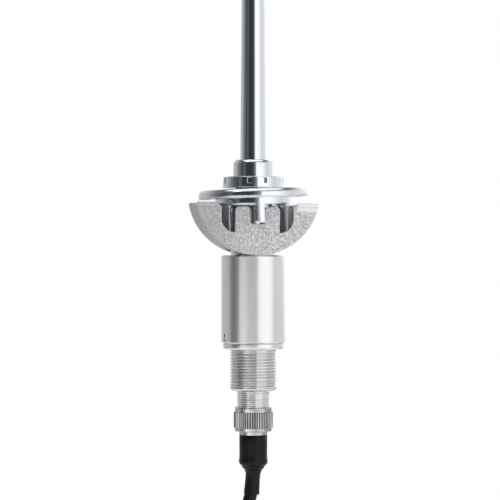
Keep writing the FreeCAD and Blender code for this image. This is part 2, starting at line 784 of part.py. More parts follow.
def plug_shell():
    """Nickelled plug shell with spring slots, seated on the spigot inside the grip."""
    low = plug_grip_length - plug_shell_seat
    top = plug_grip_length + plug_shell_length
    neck = plug_shell_radius - plug_shell_wall
    solid = turned([
        (neck - plug_shell_wall, low), (neck, low), (neck, plug_grip_length),
        (plug_shell_radius, plug_grip_length), (plug_shell_radius, top - 0.6),
        (plug_shell_radius - 0.3, top), (neck, top), (neck, plug_grip_length + 1.0),
        (neck - plug_shell_wall, plug_grip_length + 1.0),
    ])
    slot = Part.makeBox(2 * plug_shell_radius, plug_slot_width, plug_slot_length,
                        V(0, -plug_slot_width / 2, top - plug_slot_length))
    for i in range(plug_slots):
        cut = slot.copy()
        cut.rotate(ORIGIN, UP, (i + 0.5) * 360 / plug_slots)
        solid = solid.cut(cut)
    return along_plug(solid)


def plug_insulator():
    low = plug_grip_length + 1.0
    outer = plug_shell_radius - plug_shell_wall
    return along_plug(ring(outer, plug_pin_dia / 2, low, low + plug_insulator_length))


def plug_pin():
    """Centre pin with a round nose, standing out of the shell."""
    low = plug_grip_length - plug_shell_seat
    top = plug_grip_length + plug_shell_length + plug_pin_reach
    solid = ring(plug_pin_dia / 2, 0, low, top)
    return along_plug(round_edges(solid, 0.45 * plug_pin_dia, lambda e: circle_at(e, top)))


def main():
    os.makedirs("parts", exist_ok=True)
    cable = cord_tube(cable_route, "cable")
    parts = {
        "clamp_saddle": clamp_saddle(),
        "bezel": bezel(),
        "cap_nut": cap_nut(),
        "body_tube": body_tube(),
        "mast_bush": mast_bush(),
        "mast_seat": mast_seat(),
        "mast_foot": mast_foot(),
        "mast_stem": mast_stem(),
        "mast_tube_2": sliding_tube(0),
        "mast_tube_3": sliding_tube(1),
        "mast_rod": mast_rod(),
        "mast_tip": mast_tip(),
        "feed_rod": feed_rod(),
        "socket_body": socket_body(),
        "socket_insulator": socket_insulator(),
        "socket_contact": socket_contact(),
        "spacer_sleeve": spacer_sleeve(),
        "ring_nut": ring_nut(),
        "union_nut": union_nut(),
        "connector_ferrule": connector_ferrule(),
        "connector_insulator": connector_insulator(),
        "connector_pin": connector_pin(),
        "boot": boot(cable),
        "cable": cable,
        "cable_coil": Part.makeTorus(coil_radius, coil_bundle_radius, coil_centre(), AXIS_Y),
        "cable_tail": cord_tube(tail_route(), "cable_tail"),
        "cable_tie": cable_tie(),
        "plug_grip": plug_grip(),
        "plug_shell": plug_shell(),
        "plug_insulator": plug_insulator(),
        "plug_pin": plug_pin(),
    }
    for i in range(len(tube_diameters)):
        parts["friction_spring_%d" % (i + 2)] = friction_spring(i)
    for name, shape in parts.items():
        if not shape.isValid() or len(shape.Solids) != 1:
            print("look at", name, "valid", shape.isValid(), "solids", len(shape.Solids))
        shape.exportStep("parts/%s.step" % name)


main()
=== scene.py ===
"""Looks of a car wing aerial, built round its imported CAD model.

Metres. +Z runs up the mast, -Y is the front of the clamp saddle, as in the frame.
"""
import math

import bpy
import numpy as np
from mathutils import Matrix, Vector


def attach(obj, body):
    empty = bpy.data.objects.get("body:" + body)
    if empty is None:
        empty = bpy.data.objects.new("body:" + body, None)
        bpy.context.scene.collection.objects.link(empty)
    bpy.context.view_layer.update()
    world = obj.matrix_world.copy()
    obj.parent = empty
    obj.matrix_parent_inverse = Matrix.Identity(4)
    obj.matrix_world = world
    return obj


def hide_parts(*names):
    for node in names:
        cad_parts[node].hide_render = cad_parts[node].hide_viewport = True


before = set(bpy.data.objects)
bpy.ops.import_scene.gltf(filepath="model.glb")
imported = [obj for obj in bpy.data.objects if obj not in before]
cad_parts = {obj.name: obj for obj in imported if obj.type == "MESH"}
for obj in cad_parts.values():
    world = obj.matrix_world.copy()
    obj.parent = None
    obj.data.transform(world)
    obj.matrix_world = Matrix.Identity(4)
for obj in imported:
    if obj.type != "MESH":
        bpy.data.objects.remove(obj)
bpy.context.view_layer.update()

MM = 0.001
FULL_TURN = 2 * math.pi

# The photograph's view: level, a little round to the left of the saddle's front
EYE_AZIMUTH = math.radians(-8.7)
EYE_DISTANCE = 0.700
EYE_HEIGHT = -16.2 * MM
EYE_SIDESTEP = 1.13 * MM
LENS_MM = 146.6

# Foot of the aerial, in millimetres
THREAD_RADIUS = 8.0
THREAD_PITCH = 1.0
THREAD_TOP_Z = -50.25
BODY_FOOT_Z = -64.5
BODY_FOOT_ROUND = 1.2
SOCKET_THREAD_RADIUS = 5.675
SOCKET_THREAD_PITCH = 0.75
SOCKET_FACE_Z = -75.0
THREAD_DEPTH_SHARE = 0.60     # depth of the groove, in pitches
ROWS_PER_PITCH = 12
THREAD_COLUMNS = 120

# Boot over the lead's end, in millimetres
BOOT_TOP_Z = -79.6
BOOT_BEND_Z = -92.0
BOOT_MOUTH_Z = -100.0
BOOT_LEAN = 0.0778            # sideways run of its lower end, to the left, for each unit downwards

# The lead: the route's points, then the coil that it is put away in, then its plug
CABLE_DIA = 4.5 * MM
LEAD_POINTS = (
    (0.0, 0.0, -82.0),
    (0.0, 0.0, -92.0),
    (-0.7, 0.0, -101.0),
    (-4.8, 0.0, -111.5),
    (-10.6, 0.0, -122.0),
    (-17.2, 0.0, -133.0),
)
TAIL_POINTS = (
    (0.0, 0.0, 0.0),
    (0.4, -1.1, -14.0),
    (0.4, -1.1, -27.0),
)
TAIL_START = (-26.25, -3.9)
COIL_RADIUS = 24.0
COIL_JOIN_DEG = 150.0
COIL_TURNS = 6
COIL_LAST_DEG = 30.0
COIL_STEPS = 98
LAY_STEP = 0.92               # turns from one change of lay to the next
LAY_LEAD = 0.02
LAY_RUN = 0.085               # share of a turn that a change takes

FLOOR_Z = -0.2195              # clears the plug's pin, also with the connector drawn out
FLOOR_RADIUS = 0.36


def coil_lays():
    """Places of the turns in the bundle, as (outwards, along the coil's axis) in cable diameters."""
    side = math.sqrt(3) / 2
    return ((1, 0), (0.5, side), (-0.5, side), (-1, 0), (-0.5, -side), (0, 0), (0.5, -side))


def coil_points():
    """Control points of the coil, in millimetres: a circle that changes its lay once a turn.

    Each point stands at an angle round the centre. Its distance from the centre and its place along
    the coil's axis come from the lay, and run evenly from one lay to the next in a twelfth of a turn.
    """
    lays = coil_lays()
    dia = CABLE_DIA / MM
    join = math.radians(COIL_JOIN_DEG)
    end = LEAD_POINTS[-1]
    centre = (end[0] - (COIL_RADIUS + dia) * math.cos(join), end[2] - (COIL_RADIUS + dia) * math.sin(join))
    sweep = COIL_TURNS + COIL_LAST_DEG / 360
    points = []
    for k in range(1, COIL_STEPS):
        turns = sweep * k / COIL_STEPS
        angle = join + FULL_TURN * turns
        out, along = lays[0]
        for n in range(1, len(lays)):
            begins = LAY_STEP * n - LAY_LEAD
            share = min(max((turns - begins) / LAY_RUN, 0), 1)
            out += share * (lays[n][0] - lays[n - 1][0])
            along += share * (lays[n][1] - lays[n - 1][1])
        half_step = math.pi * sweep / COIL_STEPS
        radius = (COIL_RADIUS + out * dia) / math.cos(half_step)
        across = centre[0] + radius * math.cos(angle)
        up = centre[1] + radius * math.sin(angle)
        points.append((across, along * dia, up))
    start = (centre[0] + TAIL_START[0], TAIL_START[1], centre[1])
    points += [tuple(start[i] + p[i] for i in range(3)) for p in TAIL_POINTS]
    return points


def make_cable(finish):
    """The whole lead as one smooth line with a round section, from the boot to the plug."""
    curve = bpy.data.curves.new("aerial_cable", "CURVE")
    curve.dimensions = "3D"
    curve.bevel_depth = CABLE_DIA / 2
    curve.bevel_resolution = 5
    curve.resolution_u = 6
    curve.use_fill_caps = True
    spline = curve.splines.new("NURBS")
    points = [tuple(c * MM for c in p) for p in list(LEAD_POINTS) + coil_points()]
    spline.points.add(len(points) - 1)
    for slot, point in zip(spline.points, points):
        slot.co = (*point, 1)
    spline.order_u = 3
    spline.use_endpoint_u = True
    cable = bpy.data.objects.new("aerial_cable", curve)
    bpy.context.scene.collection.objects.link(cable)
    curve.materials.append(finish)
    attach(cable, "connector")
    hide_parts("cable", "cable_coil", "cable_tail")
    return cable


def place_camera():
    """Camera at the photograph's angle, which faces the mast's axis from a little to one side."""
    data = bpy.data.cameras.new("photo_view")
    data.sensor_width = 36
    data.lens = LENS_MM
    camera = bpy.data.objects.new("photo_view", data)
    across = Vector((math.cos(EYE_AZIMUTH), math.sin(EYE_AZIMUTH), 0))
    towards = Vector((math.sin(EYE_AZIMUTH), -math.cos(EYE_AZIMUTH), 0))
    camera.location = EYE_DISTANCE * towards - EYE_SIDESTEP * across + Vector((0, 0, EYE_HEIGHT))
    camera.rotation_euler = (math.pi / 2, 0, EYE_AZIMUTH)
    bpy.context.scene.collection.objects.link(camera)
    bpy.context.scene.camera = camera


def closed_surface(name, x, y, z, finish):
    """Mesh of a grid of points that closes on itself both ways; rows and columns both wrap round."""
    rows, columns = x.shape
    place = np.arange(rows * columns).reshape(rows, columns)
    below = np.roll(place, -1, axis=0)
    beside = np.roll(place, -1, axis=1)
    across = np.roll(below, -1, axis=1)
    faces = np.stack([place, beside, across, below], axis=-1).reshape(-1, 4)
    corners = np.stack([x, y, z], axis=-1).reshape(-1, 3) * MM
    mesh = bpy.data.meshes.new(name)
    mesh.from_pydata(corners.tolist(), [], faces.tolist())
    mesh.polygons.foreach_set("use_smooth", np.ones(len(faces), dtype=bool))
    mesh.materials.append(finish)
    mesh.update()
    piece = bpy.data.objects.new(name, mesh)
    bpy.context.scene.collection.objects.link(piece)
    return piece


def threaded_profile(outer, pitch, bottom, top):
    """Heights and shares of full thread for the rows of a thread that runs out over a pitch at its top."""
    rows = int(round((top - bottom) / pitch * ROWS_PER_PITCH))
    heights = np.linspace(bottom, top, rows + 1)
    share = np.clip((top - heights) / pitch, 0, 1) * np.clip((heights - bottom) / (0.6 * pitch), 0, 1)
    return heights, np.full(rows + 1, outer), share


def threaded_tube(name, lower, thread, upper, pitch, finish):
    """Tube whose outline is turned about the mast's axis, with a screw thread cut into one stretch.

    Each row of the grid is a ring. On the thread's rows the radius falls by up to the thread's depth.
    How far it falls depends on the height in pitches less the share of a turn, so the groove climbs
    one pitch a turn; it has flat crests and sloping flanks.
    """
    heights = np.concatenate([lower[:, 1], thread[0], upper[:, 1]])
    radii = np.concatenate([lower[:, 0], thread[1], upper[:, 0]])
    share = np.concatenate([np.zeros(len(lower)), thread[2], np.zeros(len(upper))])
    angle = np.linspace(0, FULL_TURN, THREAD_COLUMNS, endpoint=False)
    phase = heights[:, None] / pitch - angle[None, :] / FULL_TURN
    ridge = np.abs(2 * (phase - np.floor(phase)) - 1)
    groove = 1 - np.clip((ridge - 0.10) / 0.56, 0, 1)
    radius = radii[:, None] - THREAD_DEPTH_SHARE * pitch * share[:, None] * groove
    tall = np.broadcast_to(heights[:, None], radius.shape)
    return closed_surface(name, radius * np.cos(angle), radius * np.sin(angle), tall, finish)


def make_body_tube(finish):
    """Body tube with its foot thread: bore, rounded foot, thread, neck, threaded head's outline."""
    bend = np.radians(np.linspace(-80, 0, 7))
    foot = np.stack([THREAD_RADIUS - BODY_FOOT_ROUND * (1 - np.cos(bend)),
                     BODY_FOOT_Z + BODY_FOOT_ROUND * (1 + np.sin(bend))], axis=1)
    lower = np.concatenate([[(6.2, -1.0), (6.2, -1.1), (6.2, BODY_FOOT_Z), (6.21, BODY_FOOT_Z)], foot])
    thread = threaded_profile(THREAD_RADIUS, THREAD_PITCH, BODY_FOOT_Z + BODY_FOOT_ROUND, THREAD_TOP_Z)
    upper = np.array([(7.75, THREAD_TOP_Z + 0.02), (7.75, THREAD_TOP_Z + 0.3), (7.75, 1.1), (7.75, 1.2),
                      (7.35, 1.6), (6.05, 1.6), (6.0, 1.62), (6.0, 12.0), (5.6, 12.4), (5.15, 12.4),
                      (5.1, 12.38), (5.1, -1.0)])
    tube = threaded_tube("body_tube_turned", lower, thread, upper, THREAD_PITCH, finish)
    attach(tube, "aerial")
    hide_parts("body_tube")


def make_socket_body(finish):
    """Socket with the finer thread that the union nut screws onto."""
    lower = np.array([(6.2, -56.0), (4.0, -56.0), (4.0, -56.1), (4.0, SOCKET_FACE_Z), (4.05, SOCKET_FACE_Z),
                      (SOCKET_THREAD_RADIUS - 0.3, SOCKET_FACE_Z),
                      (SOCKET_THREAD_RADIUS, SOCKET_FACE_Z + 0.3)])
    thread = threaded_profile(SOCKET_THREAD_RADIUS, SOCKET_THREAD_PITCH, SOCKET_FACE_Z + 0.32, BODY_FOOT_Z)
    upper = np.array([(SOCKET_THREAD_RADIUS, BODY_FOOT_Z + 0.01), (6.2, BODY_FOOT_Z + 0.02), (6.2, -56.1)])
    socket = threaded_tube("socket_turned", lower, thread, upper, SOCKET_THREAD_PITCH, finish)
    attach(socket, "aerial")
    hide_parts("socket_body")


def make_boot(finish):
    """Rubber boot: an outline of radius by height, carried along a line that bends to the left.

    The line runs straight down and then leans with the cable. Its sideways run is half the lean times
    (u + root of u squared plus 1), where u is the depth below the bend. Each ring stands square to it.
    """
    outline = np.array([
        (3.45, -79.7), (3.9, BOOT_TOP_Z), (4.55, BOOT_TOP_Z - 0.02), (4.75, BOOT_TOP_Z - 0.15),
        (4.82, BOOT_TOP_Z - 0.45), (4.80, -82.5), (4.78, -86.9), (4.82, -87.7), (4.93, -88.3), (4.95, -88.9),
        (4.86, -89.4), (4.62, -89.75), (4.28, -90.05), (4.05, -90.3), (3.93, -90.55), (3.84, -90.8),
        (3.62, -91.1), (3.34, -91.35), (3.10, -91.6), (2.95, -91.95), (2.80, -92.35), (2.62, -92.75),
        (2.52, -93.2), (2.50, -94.5), (2.56, -96.5), (2.63, -98.5), (2.68, -99.6), (2.70, -99.85),
        (2.66, BOOT_MOUTH_Z), (2.45, BOOT_MOUTH_Z - 0.02), (2.27, -99.95), (2.26, -99.5), (2.26, -87.0),
        (3.42, -86.4), (3.42, -80.0),
    ])
    angle = np.linspace(0, FULL_TURN, 72, endpoint=False)
    depth = BOOT_BEND_Z - outline[:, 1]
    root = np.sqrt(depth ** 2 + 1)
    aside = 0.5 * BOOT_LEAN * (depth + root)
    lean = np.arctan(0.5 * BOOT_LEAN * (1 + depth / root))
    across = outline[:, 0, None] * np.cos(angle)
    x = across * np.cos(lean)[:, None] - aside[:, None]
    z = outline[:, 1, None] - across * np.sin(lean)[:, None]
    y = outline[:, 0, None] * np.sin(angle)
    boot = closed_surface("boot_moulded", x[::-1], y[::-1], z[::-1], finish)
    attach(boot, "connector")
    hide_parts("boot")


def add_node(tree, kind, **settings):
    """A shader node. Settings named by a socket set that socket, and the others set the node."""
    node = tree.nodes.new("ShaderNode" + kind)
    for name, value in settings.items():
        if hasattr(node, name):
            setattr(node, name, value)
        else:
            node.inputs[name].default_value = value
    return node


def fill_ramp(ramp, stops, blue=0.0):
    """Sets a colour ramp's stops from (place, brightness) pairs, with a little blue added to them all."""
    elements = ramp.color_ramp.elements
    while len(elements) < len(stops):
        elements.new(0.5)
    for element, (place, level) in zip(elements, stops):
        element.position = place
        element.color = (level - blue / 3, level, level + blue, 1)


# Brightness round the studio, by the direction from the object: degrees to the right of the camera.
# ABOVE and BELOW the horizon and on the TABLE are what shiny metal shows, and SOFT is what lights the rest.
ABOVE = (
    (-180, 0.60), (-160, 0.60), (-140, 0.51), (-118, 0.46), (-104, 0.31), (-90, 0.18), (-75, 0.10),
    (-60, 0.06), (-54, 0.12), (-47, 0.12), (-41, 0.04), (-4, 0.04), (4, 0.10), (13, 0.26), (20, 1.14),
    (50, 1.08), (63, 0.94), (77, 0.78), (88, 0.68), (100, 0.78), (125, 0.80), (142, 0.98), (180, 1.02),
)
BELOW = (
    (-180, 0.95), (-162, 0.95), (-148, 0.46), (-120, 0.50), (-98, 0.62), (-84, 0.26), (-70, 0.30),
    (-56, 0.62), (-46, 1.45), (-28, 1.48), (-18, 1.16), (0, 1.12), (18, 0.72), (40, 0.96), (66, 1.10),
    (80, 0.62), (100, 0.54), (140, 0.45), (165, 0.62), (180, 0.80),
)
TABLE = (
    (-180, 0.30), (-120, 0.22), (-70, 0.25), (-40, 0.80), (-15, 0.97), (90, 0.88), (130, 0.45), (180, 0.30),
)
SOFT = (
    (-180, 0.34), (-120, 0.14), (-60, 0.42), (-10, 0.88), (60, 1.00), (120, 0.76), (180, 0.34),
)
ABOVE_BLUE = 0.010            # a trace of blue in the upper ring
# Spans of height, the Z of a direction one unit long, over which one part of the room gives way to the next
TABLE_FADE = (-0.50, -0.20)
HORIZON = (-0.072, -0.045)
CEILING_FADE = (0.42, 0.80)
SKYLIGHT_FADE = (0.80, 0.88)
SOFT_RISE = (0.30, 0.85)
CEILING_LEVEL = 0.13
SKYLIGHT_LEVEL = 1.1          # a lit panel straight above


def ramp_round(tree, share, stops, blue=0.0):
    """Colour by the share of a turn, from (degrees, brightness) pairs."""
    ramp = add_node(tree, "ValToRGB")
    fill_ramp(ramp, [((a + 180) / 360, level) for a, level in stops], blue)
    tree.links.new(share, ramp.inputs["Fac"])
    return ramp.outputs["Color"]


def mix_by_height(tree, height, span, low, high):
    """Colour that goes from low to high as the direction rises through the span of heights.

    Either end is a colour of the tree or a plain grey level.
    """
    rise = add_node(tree, "MapRange", interpolation_type="SMOOTHSTEP")
    rise.inputs["From Min"].default_value = span[0]
    rise.inputs["From Max"].default_value = span[1]
    tree.links.new(height, rise.inputs["Value"])
    mix = add_node(tree, "MixRGB")
    tree.links.new(rise.outputs[0], mix.inputs["Fac"])
    for end, socket in ((low, mix.inputs["Color1"]), (high, mix.inputs["Color2"])):
        if isinstance(end, float):
            socket.default_value = (end, end, end, 1)
        else:
            tree.links.new(end, socket)
    return mix.outputs["Color"]


def light_studio():
    """World light that changes round the object and at the horizon; what the camera sees is white."""
    world = bpy.data.worlds.new("studio")
    bpy.context.scene.world = world
    world.use_nodes = True
    tree = world.node_tree
    tree.nodes.clear()
    link = tree.links.new
    place = add_node(tree, "TexCoord")
    turned = add_node(tree, "VectorRotate", rotation_type="Z_AXIS", Angle=-EYE_AZIMUTH)
    link(place.outputs["Generated"], turned.inputs["Vector"])
    split = add_node(tree, "SeparateXYZ")
    link(turned.outputs["Vector"], split.inputs["Vector"])
    forward = add_node(tree, "Math", operation="MULTIPLY")
    forward.inputs[1].default_value = -1
    link(split.outputs["Y"], forward.inputs[0])
    angle = add_node(tree, "Math", operation="ARCTAN2")
    link(split.outputs["X"], angle.inputs[0])
    link(forward.outputs[0], angle.inputs[1])
    share = add_node(tree, "MapRange")
    share.inputs["From Min"].default_value = -math.pi
    share.inputs["From Max"].default_value = math.pi
    link(angle.outputs[0], share.inputs["Value"])
    height = split.outputs["Z"]
    around = mix_by_height(tree, height, HORIZON, ramp_round(tree, share.outputs[0], BELOW),
                           ramp_round(tree, share.outputs[0], ABOVE, ABOVE_BLUE))
    room = mix_by_height(tree, height, TABLE_FADE, ramp_round(tree, share.outputs[0], TABLE), around)
    room = mix_by_height(tree, height, CEILING_FADE, room, CEILING_LEVEL)
    room = mix_by_height(tree, height, SKYLIGHT_FADE, room, SKYLIGHT_LEVEL)
    reflected = add_node(tree, "Background", Strength=1.0)
    link(room, reflected.inputs["Color"])
    soft = add_node(tree, "Background", Strength=1.0)
    overhead = mix_by_height(tree, height, SOFT_RISE, ramp_round(tree, share.outputs[0], SOFT), 1.0)
    link(overhead, soft.inputs["Color"])
    white = add_node(tree, "Background", Color=(1, 1, 1, 1), Strength=1.0)
    rays = add_node(tree, "LightPath")
    gloss = add_node(tree, "MixShader")
    link(rays.outputs["Is Glossy Ray"], gloss.inputs[0])
    link(soft.outputs[0], gloss.inputs[1])
    link(reflected.outputs[0], gloss.inputs[2])
    seen = add_node(tree, "Math", operation="MAXIMUM")
    link(rays.outputs["Is Camera Ray"], seen.inputs[0])
    link(rays.outputs["Is Transmission Ray"], seen.inputs[1])
    mix = add_node(tree, "MixShader")
    link(seen.outputs[0], mix.inputs[0])
    link(gloss.outputs[0], mix.inputs[1])
    link(white.outputs[0], mix.inputs[2])
    out = add_node(tree, "OutputWorld")
    link(mix.outputs[0], out.inputs["Surface"])


def place_lamp(name, azimuth_deg, elevation_deg, distance, size, power):
    """Soft square lamp that faces the saddle from a direction counted to the right of the camera."""
    data = bpy.data.lights.new(name, "AREA")
    data.size = size
    data.energy = power
    lamp = bpy.data.objects.new(name, data)
    azimuth = EYE_AZIMUTH + math.radians(azimuth_deg)
    elevation = math.radians(elevation_deg)
    way = Vector((math.sin(azimuth) * math.cos(elevation), -math.cos(azimuth) * math.cos(elevation),
                  math.sin(elevation)))
    lamp.location = way * distance
    lamp.rotation_euler = way.to_track_quat("Z", "Y").to_euler()
    bpy.context.scene.collection.objects.link(lamp)


def lay_floor():
    """Pale round floor under the plug, out of the photograph's view."""
    angle = np.linspace(0, FULL_TURN, 96, endpoint=False)
    height = np.full(len(angle), FLOOR_Z)
    rim = np.stack([FLOOR_RADIUS * np.cos(angle), FLOOR_RADIUS * np.sin(angle), height], axis=1)
    mesh = bpy.data.meshes.new("floor")
    mesh.from_pydata(rim.tolist(), [], [list(range(len(angle)))])
    mesh.materials.append(plain_material("pale_floor", (0.92, 0.92, 0.92), 0, 0.9))
    floor = bpy.data.objects.new("floor", mesh)
    bpy.context.scene.collection.objects.link(floor)


def new_group(name, inputs, outputs):
    """An empty shader group with float inputs and their defaults, and float outputs."""
    group = bpy.data.node_groups.new(name, "ShaderNodeTree")
    for name, value in inputs.items():
        socket = group.interface.new_socket(name, in_out="INPUT", socket_type="NodeSocketFloat")
        socket.default_value = value
    for name in outputs:
        group.interface.new_socket(name, in_out="OUTPUT", socket_type="NodeSocketFloat")
    return group, group.nodes.new("NodeGroupInput"), group.nodes.new("NodeGroupOutput")


def build_grain_group():
    """Fine grain and slow clouds over the surface, from the object's own coordinates."""
    given_values = {"Grain": 1500.0, "Clouds": 60.0}
    group, given, result = new_group("grain_and_clouds", given_values, ("Grain", "Clouds"))
    place = add_node(group, "TexCoord")
    for kind, detail in (("Grain", 2.0), ("Clouds", 3.0)):
        noise = add_node(group, "TexNoise", Detail=detail)
        group.links.new(place.outputs["Object"], noise.inputs["Vector"])
        group.links.new(given.outputs[kind], noise.inputs["Scale"])
        group.links.new(noise.outputs["Fac"], result.inputs[kind])
    return group


def build_turning_group():
    """Marks left by a turning tool, which change only along the mast's axis.

    Lines is a noise. Rings is the sine of the height times Rings times a full turn: even feed marks,
    so many to a metre.
    """
    given_values = {"Lines": 2500.0, "Rings": 6600.0}
    group, given, result = new_group("turning_lines", given_values, ("Lines", "Rings"))
    place = add_node(group, "TexCoord")
    split = add_node(group, "SeparateXYZ")
    group.links.new(place.outputs["Object"], split.inputs["Vector"])
    noise = add_node(group, "TexNoise", noise_dimensions="1D", Detail=3.0, Roughness=0.7)
    group.links.new(split.outputs["Z"], noise.inputs["W"])
    group.links.new(given.outputs["Lines"], noise.inputs["Scale"])
    group.links.new(noise.outputs["Fac"], result.inputs["Lines"])
    count = add_node(group, "Math", operation="MULTIPLY")
    group.links.new(split.outputs["Z"], count.inputs[0])
    group.links.new(given.outputs["Rings"], count.inputs[1])
    angle = add_node(group, "Math", operation="MULTIPLY")
    angle.inputs[1].default_value = FULL_TURN
    group.links.new(count.outputs[0], angle.inputs[0])
    wave = add_node(group, "Math", operation="SINE")
    group.links.new(angle.outputs[0], wave.inputs[0])
    group.links.new(wave.outputs[0], result.inputs["Rings"])
    return group


def plain_material(name, colour, metallic, roughness):
    """A new material with its principled shader set to a base."""
    material = bpy.data.materials.new(name)
    material.use_nodes = True
    shader = material.node_tree.nodes["Principled BSDF"]
    shader.inputs["Base Color"].default_value = (*colour, 1)
    shader.inputs["Metallic"].default_value = metallic
    shader.inputs["Roughness"].default_value = roughness
    return material


def place_group(material, group, **values):
    """The group as a node in a material, with the values of its inputs."""
    node = material.node_tree.nodes.new("ShaderNodeGroup")
    node.node_tree = group
    for name, value in values.items():
        node.inputs[name].default_value = value
    return node


def vary_colour(material, mask, dark, light, low=0.3, high=0.7):
    """Lets the base colour run from dark to light with a mask."""
    tree = material.node_tree
    ramp = add_node(tree, "ValToRGB")
    ramp.color_ramp.elements[0].position = low
    ramp.color_ramp.elements[0].color = (*dark, 1)
    ramp.color_ramp.elements[1].position = high
    ramp.color_ramp.elements[1].color = (*light, 1)
    tree.links.new(mask, ramp.inputs["Fac"])
    tree.links.new(ramp.outputs["Color"], tree.nodes["Principled BSDF"].inputs["Base Color"])


def vary_roughness(material, mask, low, high):
    """Lets the roughness run from low to high with a mask."""
    tree = material.node_tree
    span = add_node(tree, "MapRange")
    span.inputs["From Min"].default_value = 0.3
    span.inputs["From Max"].default_value = 0.7
    span.inputs["To Min"].default_value = low
    span.inputs["To Max"].default_value = high
    tree.links.new(mask, span.inputs["Value"])
    tree.links.new(span.outputs[0], tree.nodes["Principled BSDF"].inputs["Roughness"])


def raise_surface(material, height, depth, under=None):
    """Bump of a given depth, over another normal if one is named."""
    tree = material.node_tree
    bump = add_node(tree, "Bump", Strength=1.0, Distance=depth)
    tree.links.new(height, bump.inputs["Height"])
    if under is not None:
        tree.links.new(under, bump.inputs["Normal"])
    tree.links.new(bump.outputs["Normal"], tree.nodes["Principled BSDF"].inputs["Normal"])
    return bump.outputs["Normal"]


def machine_lug(material, start, foot, fall, gloss, colour):
    """Brighter and smoother metal where a cutter ran over the right lug.

    That is wherever a point's X is above start, and its Z plus fall times X is above foot. There the
    colour covers the casting's, and the roughness is multiplied by gloss.
    """
    tree = material.node_tree
    place = add_node(tree, "TexCoord")
    slant = add_node(tree, "VectorMath", operation="DOT_PRODUCT")
    slant.inputs[1].default_value = (fall, 0, 1)
    tree.links.new(place.outputs["Object"], slant.inputs[0])
    high = add_node(tree, "Math", operation="GREATER_THAN")
    high.inputs[1].default_value = foot
    tree.links.new(slant.outputs["Value"], high.inputs[0])
    split = add_node(tree, "SeparateXYZ")
    tree.links.new(place.outputs["Object"], split.inputs["Vector"])
    outer = add_node(tree, "Math", operation="GREATER_THAN")
    outer.inputs[1].default_value = start
    tree.links.new(split.outputs["X"], outer.inputs[0])
    mask = add_node(tree, "Math", operation="MULTIPLY")
    tree.links.new(high.outputs[0], mask.inputs[0])
    tree.links.new(outer.outputs[0], mask.inputs[1])
    cover_colour(material, mask.outputs[0], colour)
    shader = tree.nodes["Principled BSDF"]
    smoother = add_node(tree, "MapRange")
    smoother.inputs["To Min"].default_value = 1.0
    smoother.inputs["To Max"].default_value = gloss
    tree.links.new(mask.outputs[0], smoother.inputs["Value"])
    product = add_node(tree, "Math", operation="MULTIPLY")
    tree.links.new(shader.inputs["Roughness"].links[0].from_socket, product.inputs[0])
    tree.links.new(smoother.outputs[0], product.inputs[1])
    tree.links.new(product.outputs[0], shader.inputs["Roughness"])


def paint_edge_highlights(material, radius, colour):
    """Painted highlights along edges: the colour is lighter where the rounded normal leaves the surface's own
    normal.
    """
    tree = material.node_tree
    rounded = add_node(tree, "Bevel", samples=6, Radius=radius)
    own = add_node(tree, "NewGeometry")
    match = add_node(tree, "VectorMath", operation="DOT_PRODUCT")
    tree.links.new(rounded.outputs["Normal"], match.inputs[0])
    tree.links.new(own.outputs["Normal"], match.inputs[1])
    edge_highlight = add_node(tree, "MapRange")
    edge_highlight.inputs["From Min"].default_value = 0.985
    edge_highlight.inputs["From Max"].default_value = 0.88
    edge_highlight.inputs["To Max"].default_value = 0.85
    tree.links.new(match.outputs["Value"], edge_highlight.inputs["Value"])
    cover_colour(material, edge_highlight.outputs[0], colour)


def paint_pocket_light(material, half_length, half_width, depth, colour):
    """Painted light inside the pocket, whose closed walls get little light: a lighter colour within a box
    round the origin.
    """
    tree = material.node_tree
    place = add_node(tree, "TexCoord")
    split = add_node(tree, "SeparateXYZ")
    tree.links.new(place.outputs["Object"], split.inputs["Vector"])
    inside = None
    for axis, reach in (("X", half_length), ("Y", half_width), ("Z", depth)):
        within = add_node(tree, "Math", operation="COMPARE")
        within.inputs[1].default_value = 0
        within.inputs[2].default_value = reach
        tree.links.new(split.outputs[axis], within.inputs[0])
        if inside is None:
            inside = within.outputs[0]
        else:
            both = add_node(tree, "Math", operation="MULTIPLY")
            tree.links.new(inside, both.inputs[0])
            tree.links.new(within.outputs[0], both.inputs[1])
            inside = both.outputs[0]
    cover_colour(material, inside, colour)


def cover_colour(material, mask, colour):
    """Lets another colour cover the base colour where the mask is 1."""
    tree = material.node_tree
    base = tree.nodes["Principled BSDF"].inputs["Base Color"]
    cover = add_node(tree, "MixRGB", Color2=(*colour, 1))
    tree.links.new(mask, cover.inputs["Fac"])
    tree.links.new(base.links[0].from_socket, cover.inputs["Color1"])
    tree.links.new(cover.outputs["Color"], base)


def paint_left_lug_shade(material, start, end, amount, colour):
    """Painted shade towards the casting's left lug, where less light falls: the share of another, darker
    colour grows to the amount, from start to end.

    Start and end are places on X.
    """
    tree = material.node_tree
    place = add_node(tree, "TexCoord")
    split = add_node(tree, "SeparateXYZ")
    tree.links.new(place.outputs["Object"], split.inputs["Vector"])
    share = add_node(tree, "MapRange", interpolation_type="SMOOTHSTEP")
    share.inputs["From Min"].default_value = start
    share.inputs["From Max"].default_value = end
    share.inputs["To Max"].default_value = amount
    tree.links.new(split.outputs["X"], share.inputs["Value"])
    cover_colour(material, share.outputs[0], colour)


